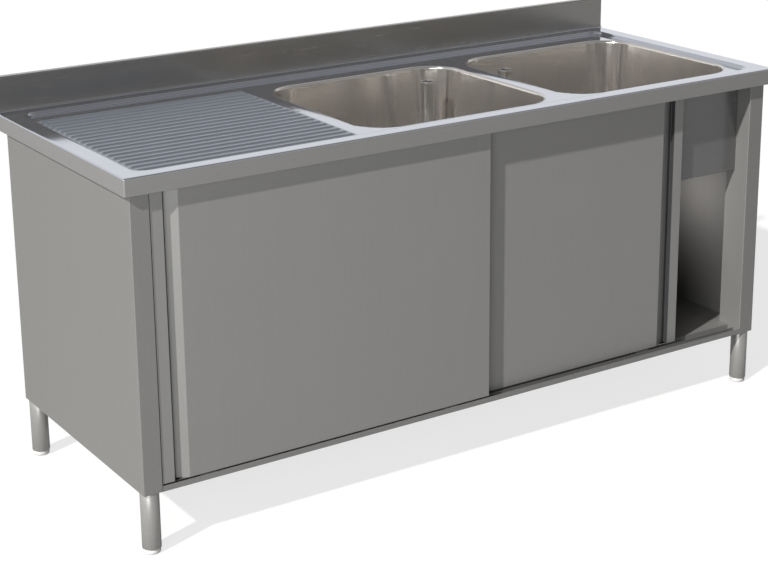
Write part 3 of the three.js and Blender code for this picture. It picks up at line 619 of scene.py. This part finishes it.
def buildWorktop(shape):
    rows = foldRows(shape)
    columns = deckColumns(shape)
    wide, fold = shape["halfWidth"], shape["fold"]
    columns = [x for x in columns if abs(x) <= wide - fold]
    reach = bowlShape["half"][0] + bowlShape["rim"], bowlShape["half"][1] + bowlShape["rim"]
    holeCorner = bowlShape["corner"] + bowlShape["rim"]

    def outsideBowls(x, y):
        return min(roundedDistance(x, y, bowlShape[s], *reach, holeCorner) for s in ("left", "right"))

    verts, faces = [], []
    sheet, field = [], []
    for y, z, _, _, onDeck in rows:
        line, values = [], []
        for x in columns:
            height = deckHeight(x, y, shape) if onDeck else z
            line.append(len(verts))
            verts.append((x, y, height))
            values.append(outsideBowls(x, y) if onDeck else 1.0)
        sheet.append(line)
        field.append(values)
    crossings = {}

    def crossing(a, b, fa, fb):
        key = (min(a, b), max(a, b))
        if key not in crossings:
            t = fa / (fa - fb)
            pa, pb = Vector(verts[a]), Vector(verts[b])
            crossings[key] = len(verts)
            verts.append(tuple(pa.lerp(pb, t)))
        return crossings[key]

    for r in range(len(rows) - 1):
        for c in range(len(columns) - 1):
            corners = [
                (sheet[r][c], field[r][c]), (sheet[r][c + 1], field[r][c + 1]),
                (sheet[r + 1][c + 1], field[r + 1][c + 1]), (sheet[r + 1][c], field[r + 1][c]),
            ]
            if all(f >= -tiny for _, f in corners):
                faces.append([v for v, _ in corners])
            elif any(f > tiny for _, f in corners):
                clipped = []
                for (a, fa), (b, fb) in zip(corners, corners[1:] + corners[:1]):
                    if fa >= -tiny:
                        clipped.append(a)
                    if (fa > tiny and fb < -tiny) or (fa < -tiny and fb > tiny):
                        clipped.append(crossing(a, b, fa, fb))
                if len(clipped) > 2:
                    faces.append(clipped)

    # the two ends: the fold over the edge, the flat end plate and its hem
    small, bottom = shape["hemFold"], shape["skirtBottom"]
    skirt = [i for i, row in enumerate(rows) if row[1] is None or row[1] > bottom + small - tiny]
    foldSteps, shoulder = shape["foldSteps"], small * shape["hemShoulder"]
    for side, last in ((-1, 0), (1, len(columns) - 1)):
        previous = [sheet[i][last] for i in skirt]
        for step in range(1, foldSteps + 1):
            angle = math.pi / 2 * step / foldSteps
            ring = []
            for i in skirt:
                y, z, ny, nz, _ = rows[i]
                z = shape["top"] if z is None else z
                sink = fold * (1 - math.cos(angle))
                ring.append(len(verts))
                verts.append((side * (wide - fold + fold * math.sin(angle)), y - ny * sink, z - nz * sink))
            for k in range(len(skirt) - 1):
                quad = [previous[k], previous[k + 1], ring[k + 1], ring[k]]
                faces.append(quad[::-side])
            previous = ring
        faces += endStrips(verts, previous, side, bottom + small)
        depth = shape["halfDepth"] - fold
        hemLine = [
            (wide, bottom + small), (wide - shoulder, bottom + shoulder), (wide - small, bottom),
            (wide - shape["hem"], bottom),
        ]
        strip = []
        for x, z in hemLine:
            strip.append((len(verts), len(verts) + 1))
            verts.extend([(side * x, -depth, z), (side * x, depth, z)])
        for (a, b), (c, d) in zip(strip, strip[1:]):
            faces.append([a, b, d, c][::-side])
    top = addMesh("worktopSheet", verts, faces, shape["crease"])
    finishes = [deckSteel, skirtSteel, splashSteel, drainerPaintedReflection]
    for finish in finishes:
        top.data.materials.append(finish)
    start, end = shape["ribSpan"]
    lowest = shape["ribFirst"] - shape["ribPitch"] / 2
    highest = lowest + shape["ribPitch"] * shape["ribCount"]
    for face in top.data.polygons:
        if face.center.z > shape["top"] + shape["cove"] * shape["splashFrom"]:
            face.material_index = finishes.index(splashSteel)
        # faces in the rib zone take the darker, bluer drainer colour, painted reflection
        elif start < face.center.x < end and lowest < face.center.y < highest:
            face.material_index = finishes.index(drainerPaintedReflection)
        elif abs(face.normal.z) < upright and face.center.z < shape["top"] - shape["fold"]:
            face.material_index = finishes.index(skirtSteel)
    thicken(top, shape["sheet"])
    settle(top, "cabinet", "worktop_steel", deckSteel, "worktop")


def buildBowl(side, shape):
    centre = shape[side]
    halfWidth, halfLength = shape["half"]
    rimSteps, wallSteps, floorSteps = shape["rimSteps"], shape["wallSteps"], shape["floorSteps"]
    loops = []

    def ring(offset, height):
        half = halfWidth + offset, halfLength + offset
        loops.append(roundedLoop(centre, *half, shape["corner"] + offset, height, shape["cornerSteps"]))

    # the rolled rim, the leaning wall and the fillet at its foot
    rim = shape["rim"]
    for k in range(rimSteps + 1):
        angle = math.pi / 2 * k / rimSteps
        ring(rim * (1 - math.sin(angle)), shape["deck"] - rim * (1 - math.cos(angle)))
    wallTop, wallFoot = shape["deck"] - rim, shape["bottom"] + shape["fillet"]
    for k in range(1, wallSteps + 1):
        ring(-shape["draft"] * k / wallSteps, wallTop + (wallFoot - wallTop) * k / wallSteps)
    for k in range(1, wallSteps + 1):
        angle = math.pi / 2 * k / wallSteps
        inward = shape["draft"] + shape["fillet"] * (1 - math.cos(angle))
        ring(-inward, wallFoot - shape["fillet"] * math.sin(angle) + shape["fall"])
    # the floor, falling to the waste
    foot, hole = loops[-1], shape["wasteHole"]
    waste = shape["waste"][side]
    angles = [math.atan2(p[1] - waste[1], p[0] - waste[0]) for p in foot]
    for k in range(1, floorSteps + 1):
        share = k / floorSteps
        loop = []
        for p, angle in zip(foot, angles):
            x = p[0] + (waste[0] + hole * math.cos(angle) - p[0]) * share
            y = p[1] + (waste[1] + hole * math.sin(angle) - p[1]) * share
            loop.append((x, y, shape["bottom"] + shape["fall"] * (1 - share)))
        loops.append(loop)
    verts, faces = loftLoops(loops)
    bowl = addMesh(side + "BowlSkin", verts, faces, shape["crease"])
    thicken(bowl, shape["sheet"])
    settle(bowl, "cabinet", "bowl_steel", bowlSteel, side + "_bowl")


buildWorktop(worktopShape)
for side in ("left", "right"):
    buildBowl(side, bowlShape)
print("worktop and bowls pressed")


# wastes and standpipes

wasteShape = {
    "seat": 0.6003, "flange": 0.04, "rise": 0.0025, "bore": 0.0205, "body": 0.026, "bodyLength": 0.042,
    "tail": 0.02, "tailBore": 0.018, "tailLength": 0.026, "neck": (0.0012, 0.0015), "crease": 40,
    "throat": ((0.0, -0.004), (0.0012, -0.0006), (0.003, 0.0006), (0.006, 0.0014)),  # out from the bore
    "brim": ((0.006, 0.9), (0.003, 1.0), (0.001, 0.8), (0.0, 0.35), (0.0, 0.0)),  # in from the flange
}
pipeShape = {
    "seat": 0.6031, "radius": 0.018, "wall": 0.0015, "top": 0.825, "collar": 0.024, "collarHeight": 0.004,
    "plug": 0.0199, "plugLength": 0.024, "plugTaper": (0.001, 0.003), "collarFoot": 0.0006,
    "collarRound": 0.001, "collarBlend": 0.0015, "mouth": 0.004, "bead": 0.0016, "beadSteps": 8, "crease": 40,
}


def buildWaste(side, shape):
    rise, flange, bore = shape["rise"], shape["flange"], shape["bore"]
    foot = -shape["bodyLength"]
    end = foot - shape["tailLength"]
    bodyStep, tailStep = shape["neck"]
    profile = [(bore, foot)]
    profile += [(bore + out, height) for out, height in shape["throat"]]
    profile += [(flange - inward, rise * share) for inward, share in shape["brim"]]
    profile += [
        (shape["body"], 0.0), (shape["body"], foot - bodyStep), (shape["tail"], foot - tailStep),
        (shape["tail"], end), (shape["tailBore"], end), (shape["tailBore"], foot), (bore, foot),
    ]
    centre = (*bowlShape["waste"][side], shape["seat"])
    waste = lathe(side + "WasteFitting", profile[::-1], centre, shape["crease"])
    settle(waste, "cabinet", "fitting_steel", fittingSteel, side + "_waste_body")


def buildStandpipe(side, shape):
    outer, wall, seat = shape["radius"], shape["wall"], shape["seat"]
    top, bead, steps = shape["top"] - seat, shape["bead"] / 2, shape["beadSteps"]
    plug, foot = shape["plug"], -shape["plugLength"]
    taperIn, taperUp = shape["plugTaper"]
    collar, height = shape["collar"], shape["collarHeight"]
    low, ease, blend = shape["collarFoot"], shape["collarRound"], shape["collarBlend"]
    profile = [
        (outer - wall, foot), (plug - taperIn, foot), (plug, foot + taperUp), (plug, 0.0),
        (collar - low, 0.0), (collar, low), (collar, height - ease), (collar - ease, height),
        (outer + blend, height), (outer, height + blend), (outer, top - shape["mouth"]),
    ]
    for k in range(steps + 1):
        angle = math.pi * k / steps
        profile.append((outer - wall / 2 * (1 - math.cos(angle)), top - bead + bead * math.sin(angle)))
    profile += [(outer - wall, top - shape["mouth"]), (outer - wall, foot)]
    centre = (*bowlShape["waste"][side], seat)
    pipe = lathe(side + "StandpipeTube", profile, centre, shape["crease"])
    settle(pipe, side + "_overflow", "fitting_steel", fittingSteel, side + "_standpipe")


for side in ("left", "right"):
    buildWaste(side, wasteShape)
    buildStandpipe(side, pipeShape)
print("wastes and standpipes turned")


# cabinet

cabinetShape = {
    "side": 0.883, "stile": 0.045, "front": -0.334, "rear": 0.324, "frontReturn": 0.075, "rearReturn": 0.045,
    "bottom": 0.143, "top": 0.8402, "bend": 0.002, "bendSteps": 5, "sheet": 0.0012,
}
apronShape = {
    "halfWidth": 0.8377, "face": -0.2895, "bottom": 0.58, "top": 0.8372, "hem": 0.014,
    "bend": 0.0018, "bendSteps": 5, "sheet": 0.0012,
}


def buildSidePanel(name, side, shape):
    outer, inner = shape["side"], shape["side"] - shape["stile"]
    front, rear, bend = shape["front"], shape["rear"], shape["bend"]
    corners = [
        (inner, front + shape["frontReturn"], 0), (inner, front, bend), (outer, front, bend),
        (outer, rear, bend), (inner, rear, bend), (inner, rear - shape["rearReturn"], 0),
    ]
    path = bendPath(corners, shape["bendSteps"])
    if side < 0:
        path = [Vector((-p.x, p.y)) for p in path][::-1]
    panel = pushPath(name + "SidePanel", path, shape["bottom"], shape["top"], "z")
    panel.data.materials.append(sideSteel)
    # the inside of the sheet takes the lighter steel, painted light for the bay
    panel.data.materials.append(innerPaintedLightSteel)
    thicken(panel, shape["sheet"])
    panel.modifiers["sheet"].material_offset = 1  # the back of the sheet gets innerPaintedLightSteel
    settle(panel, "cabinet", "cabinet_steel", sideSteel, name + "_side_panel")


def buildApron(shape):
    corners = [
        (shape["face"], shape["top"], 0), (shape["face"], shape["bottom"], shape["bend"]),
        (shape["face"] + shape["hem"], shape["bottom"], 0),
    ]
    path = bendPath(corners, shape["bendSteps"])
    apron = pushPath("bowlCover", path, -shape["halfWidth"], shape["halfWidth"], "x")
    thicken(apron, shape["sheet"])
    # the bowl cover takes the darker steel, painted shade for its recessed place
    settle(apron, "cabinet", "cabinet_steel", apronShadeSteel, "bowl_apron")


buildSidePanel("left", -1, cabinetShape)
buildSidePanel("right", 1, cabinetShape)
buildApron(apronShape)
print("cabinet panels folded")


# doors

doorShape = {
    "width": 0.862, "thickness": 0.019, "bottom": 0.158, "top": 0.807, "bend": 0.0014, "bendSteps": 4,
    "strip": 0.029, "channel": 0.013, "floor": 0.007, "slope": 0.028, "channelBend": 0.0028,
    "paintedShadeMargin": (0.001, 0.002), "sheet": 0.001,
    "left": (-0.836, -0.33125, 1), "right": (0.635, -0.31025, -1),
}


def buildDoorSkin(name, shape):
    outerX, frontY, reach = shape[name]
    width, thickness, strip, depth = (shape[k] for k in ("width", "thickness", "strip", "channel"))
    floorEnd = strip + shape["floor"]
    bend, wideBend, steps = shape["bend"], shape["channelBend"], shape["bendSteps"]
    corners = [
        (0, thickness, 0), (0, 0, bend), (strip, 0, bend), (strip, depth, bend), (floorEnd, depth, wideBend),
        (floorEnd + shape["slope"], 0, wideBend), (width, 0, bend), (width, thickness, 0),
    ]
    path = bendPath(corners, steps)
    normals = pathNormals(path)
    low, high = shape["bottom"], shape["top"]
    rings = []
    for k in range(steps + 1):
        angle = math.pi / 2 * (steps - k) / steps
        rings.append((bend * (1 - math.cos(angle)), low + bend * (1 - math.sin(angle))))
    for k in range(steps + 1):
        angle = math.pi / 2 * k / steps
        rings.append((bend * (1 - math.cos(angle)), high - bend * (1 - math.sin(angle))))
    verts, faces = [], []
    count = len(path)
    for inset, height in rings:
        for p, n in zip(path, normals):
            u, v = p.x - n.x * inset, p.y - n.y * inset
            verts.append((outerX + reach * u, frontY + v, height))
    for level in range(len(rings) - 1):
        for i in range(count - 1):
            a = level * count + i
            faces.append([a, a + 1, a + 1 + count, a + count][::reach])
    faces.append(list(range(count))[::-reach])
    last = (len(rings) - 1) * count
    faces.append(list(range(last, last + count))[::reach])
    skin = addMesh(name + "DoorSkin", verts, faces, foldCrease)
    finishes = [doorSteel, paintedGrooveShade]
    for finish in finishes:
        skin.data.materials.append(finish)
    # the grip channel's wall and floor take the near-black steel, painted shade
    before, beyond = shape["paintedShadeMargin"]
    for face in skin.data.polygons:
        inward = abs(face.center.x - outerX)
        if strip - before < inward < floorEnd + beyond and abs(face.normal.z) < upright:
            face.material_index = finishes.index(paintedGrooveShade)
    thicken(skin, shape["sheet"])
    settle(skin, name + "_door", "door_steel", doorSteel, name + "_door_front_skin")


buildDoorSkin("left", doorShape)
buildDoorSkin("right", doorShape)
print("door skins folded")


# legs and feet

legShape = {
    "places": {
        "front_left": (-0.8605, -0.3115), "front_right": (0.8605, -0.3115),
        "rear_left": (-0.8605, 0.3015), "rear_right": (0.8605, 0.3015),
    },
    "radius": 0.0212, "wall": 0.0015, "low": 0.012, "high": 0.1427, "ease": 0.0006,
    "foot": 0.0195, "footTop": 0.0117, "stem": 0.006, "stemLength": 0.058, "crease": 50,
    "soleRound": ((0.003, 0), (0.0012, 0.0006), (0.0003, 0.0018), (0, 0.0034)),
    "shoulderRound": ((0, 0.0022), (0.0005, 0.0009), (0.0016, 0)),
}


def buildLeg(corner, shape):
    x, y = shape["places"][corner]
    radius, inner = shape["radius"], shape["radius"] - shape["wall"]
    low, high, ease = shape["low"], shape["high"], shape["ease"]
    profile = [
        (inner, low + ease), (inner + ease, low), (radius - ease, low), (radius, low + ease),
        (radius, high - ease), (radius - ease, high), (inner, high), (inner, low + ease),
    ]
    tube = lathe(corner + "LegTube", profile, (x, y, 0), shape["crease"])
    settle(tube, "cabinet", "leg_steel", legSteel, corner + "_leg")
    foot, top = shape["foot"], shape["footTop"]
    stem, stemTop = shape["stem"], top + shape["stemLength"]
    pad = [(0, 0)]
    pad += [(foot - inward, height) for inward, height in shape["soleRound"]]
    pad += [(foot - inward, top - below) for inward, below in shape["shoulderRound"]]
    pad += [(stem, top), (stem, stemTop), (0, stemTop)]
    sole = lathe(corner + "FootPad", pad, (x, y, 0), shape["crease"])
    settle(sole, corner + "_foot_body", "white_plastic", whiteNylon, corner + "_foot")


for corner in legShape["places"]:
    buildLeg(corner, legShape)
print("legs and feet turned")


# finishes of the carried-over parts

slotFinish = {
    "worktop_steel": deckSteel, "bowl_steel": bowlSteel, "fitting_steel": fittingSteel,
    "cabinet_steel": sideSteel, "door_steel": doorSteel, "frame_steel": frameSteel, "leg_steel": legSteel,
    "white_plastic": whiteNylon, "grey_plastic": greyNylon, "rubber": blackRubber, "board": chipboard,
}
for part in frame["record"]["subparts"]:
    node = cadNodes[part["node"]]
    node.data.materials.clear()
    guide = part["node"].endswith("guide_shoe")
    node.data.materials.append(greyNylon if guide else slotFinish[part["material_slot"]])
print("finishes set")


# floor, light and camera

floorLook = {
    "size": 60.0, "colour": (0.28, 0.28, 0.28), "lift": 0.74, "sheen": 0.35,
    "roughness": 0.9, "specular": 0.1, "drop": 0.0002,
}


def buildFloor(look):
    half = look["size"] / 2
    corners = [(-half, -half, 0), (half, -half, 0), (half, half, 0), (-half, half, 0)]
    floor = addMesh("studioFloor", corners, [(0, 1, 2, 3)], foldCrease)
    floor.location.z = -look["drop"]
    material = bpy.data.materials.new("paleFloor")
    material.use_nodes = True
    tree = material.node_tree
    shader = tree.nodes["Principled BSDF"]
    shader.inputs["Base Color"].default_value = look["colour"] + (1,)
    shader.inputs["Roughness"].default_value = look["roughness"]
    shader.inputs["Specular IOR Level"].default_value = look["specular"]
    shader.inputs["Emission Color"].default_value = (1, 1, 1, 1)
    ray = addNode(tree, "ShaderNodeLightPath")
    clear = addNode(tree, "ShaderNodeMath", operation="MAXIMUM")
    tree.links.new(ray.outputs["Is Camera Ray"], clear.inputs[0])
    tree.links.new(ray.outputs["Is Transmission Ray"], clear.inputs[1])
    seen = addNode(tree, "ShaderNodeMath", operation="MULTIPLY_ADD")
    tree.links.new(ray.outputs["Is Glossy Ray"], seen.inputs[0])
    seen.inputs[1].default_value = look["sheen"]
    tree.links.new(clear.outputs[0], seen.inputs[2])
    lift = addNode(tree, "ShaderNodeMath", operation="MULTIPLY")
    lift.inputs[1].default_value = look["lift"]
    tree.links.new(seen.outputs[0], lift.inputs[0])
    tree.links.new(lift.outputs[0], shader.inputs["Emission Strength"])
    floor.data.materials.append(material)


def hangLamp(name, lamp, place, towards):
    obj = bpy.data.objects.new(name, lamp)
    obj.location = place
    obj.rotation_euler = Vector(towards).to_track_quat("-Z", "Y").to_euler()
    bpy.context.scene.collection.objects.link(obj)
    return obj


sunLook = {
    "place": (-3, -1, 3), "travel": (2.8, 1.0, -2.4), "strength": 4.0, "spread": 1.6,
    "colour": (1.0, 0.985, 0.955),
}


def buildSun(look):
    # from the left, a little in front and above
    lamp = bpy.data.lights.new("studioSun", "SUN")
    lamp.energy = look["strength"]
    lamp.angle = math.radians(look["spread"])
    lamp.color = look["colour"]
    hangLamp("studioSun", lamp, look["place"], look["travel"])


fillLook = {"place": (-2.4, -2.3, 1.1), "aim": (-0.5, -0.35, 0.5), "power": 34.0, "size": 1.4}


def buildFill(look):
    # a broad soft lamp near the left end, so the fronts fall off gently to the right
    lamp = bpy.data.lights.new("studioFill", "AREA")
    lamp.energy = look["power"]
    lamp.size = look["size"]
    hangLamp("studioFill", lamp, look["place"], Vector(look["aim"]) - Vector(look["place"]))


bayLook = {
    "place": (0.66, -0.08, 0.51), "aim": (0.88, -0.14, 0.47), "power": 0.17, "size": 0.1,
    "fan": 100.0, "colour": (1.0, 0.97, 0.94),
}


def buildBayLight(look):
    # a small soft lamp behind the doors, for the light that a pale floor throws up into the open bay
    lamp = bpy.data.lights.new("bayLight", "AREA")
    lamp.energy = look["power"]
    lamp.size = look["size"]
    lamp.spread = math.radians(look["fan"])
    lamp.color = look["colour"]
    obj = hangLamp("bayLight", lamp, look["place"], Vector(look["aim"]) - Vector(look["place"]))
    obj.visible_camera = False
    obj.visible_glossy = False


skyLook = {
    "front": (0.35, 0.35, 0.36), "back": (0.9, 0.91, 0.93),
    "frontFill": (0.1, 0.1, 0.103), "backFill": (0.21, 0.213, 0.218),
    "depthRange": (-0.5, 0.6), "heightRange": (0.35, 0.95), "overhead": 0.45,
}


def buildSky(look):
    # the camera sees white; polished steel sees a room, pale behind the unit, dim in front and overhead;
    # all else gets a weak fill
    world = bpy.data.worlds.new("studioSky")
    bpy.context.scene.world = world
    world.use_nodes = True
    tree = world.node_tree
    link = tree.links.new
    place = addNode(tree, "ShaderNodeTexCoord")
    split = addNode(tree, "ShaderNodeSeparateXYZ")
    link(place.outputs["Generated"], split.inputs[0])
    low, high = look["depthRange"]
    depth = addNode(tree, "ShaderNodeMapRange", From_Min=low, From_Max=high, interpolation_type="SMOOTHSTEP")
    link(split.outputs["Y"], depth.inputs["Value"])
    room = addNode(tree, "ShaderNodeMix", data_type="RGBA")
    room.inputs[6].default_value = look["front"] + (1,)
    room.inputs[7].default_value = look["back"] + (1,)
    link(depth.outputs[0], room.inputs[0])
    low, high = look["heightRange"]
    overhead = addNode(tree, "ShaderNodeMapRange", From_Min=low, From_Max=high, To_Min=1.0)
    overhead.inputs["To Max"].default_value = look["overhead"]
    link(split.outputs["Z"], overhead.inputs["Value"])
    shaded = addNode(tree, "ShaderNodeVectorMath", operation="SCALE")
    link(room.outputs[2], shaded.inputs[0])
    link(overhead.outputs[0], shaded.inputs["Scale"])
    fill = addNode(tree, "ShaderNodeMix", data_type="RGBA")
    fill.inputs[6].default_value = look["frontFill"] + (1,)
    fill.inputs[7].default_value = look["backFill"] + (1,)
    link(depth.outputs[0], fill.inputs[0])
    ray = addNode(tree, "ShaderNodeLightPath")
    polished = addNode(tree, "ShaderNodeMix", data_type="RGBA")
    link(ray.outputs["Is Glossy Ray"], polished.inputs[0])
    link(fill.outputs[2], polished.inputs[6])
    link(shaded.outputs[0], polished.inputs[7])
    seen = addNode(tree, "ShaderNodeMix", data_type="RGBA")
    seen.inputs[7].default_value = (1, 1, 1, 1)
    clear = addNode(tree, "ShaderNodeMath", operation="MAXIMUM")
    link(ray.outputs["Is Camera Ray"], clear.inputs[0])
    link(ray.outputs["Is Transmission Ray"], clear.inputs[1])
    link(clear.outputs[0], seen.inputs[0])
    link(polished.outputs[2], seen.inputs[6])
    link(seen.outputs[2], tree.nodes["Background"].inputs["Color"])


cameraLook = {
    "lens": 82.96, "yaw": 32.91, "pitch": 16.12, "roll": -0.59,
    "place": (-2.3125, -3.4913, 1.8043), "shift": (0.0, -0.12), "sensor": 36, "clip": (0.05, 100),
}


def buildCamera(look):
    yaw, pitch, roll = (math.radians(look[k]) for k in ("yaw", "pitch", "roll"))
    forward = Vector((math.sin(yaw) * math.cos(pitch), math.cos(yaw) * math.cos(pitch), -math.sin(pitch)))
    level = Vector((math.cos(yaw), -math.sin(yaw), 0))
    above = level.cross(forward)
    right = level * math.cos(roll) + above * math.sin(roll)
    up = above * math.cos(roll) - level * math.sin(roll)
    data = bpy.data.cameras.new("photoCamera")
    data.sensor_width = look["sensor"]
    data.lens = look["lens"]
    data.shift_x, data.shift_y = look["shift"]
    data.clip_start, data.clip_end = look["clip"]
    camera = bpy.data.objects.new("photoCamera", data)
    bpy.context.scene.collection.objects.link(camera)
    axes = Matrix((right, up, -forward)).transposed().to_4x4()
    camera.matrix_world = Matrix.Translation(Vector(look["place"])) @ axes
    bpy.context.scene.camera = camera


buildFloor(floorLook)
buildSun(sunLook)
buildFill(fillLook)
buildBayLight(bayLook)
buildSky(skyLook)
buildCamera(cameraLook)
bpy.context.scene.view_settings.view_transform = "Standard"
print("stage ready")
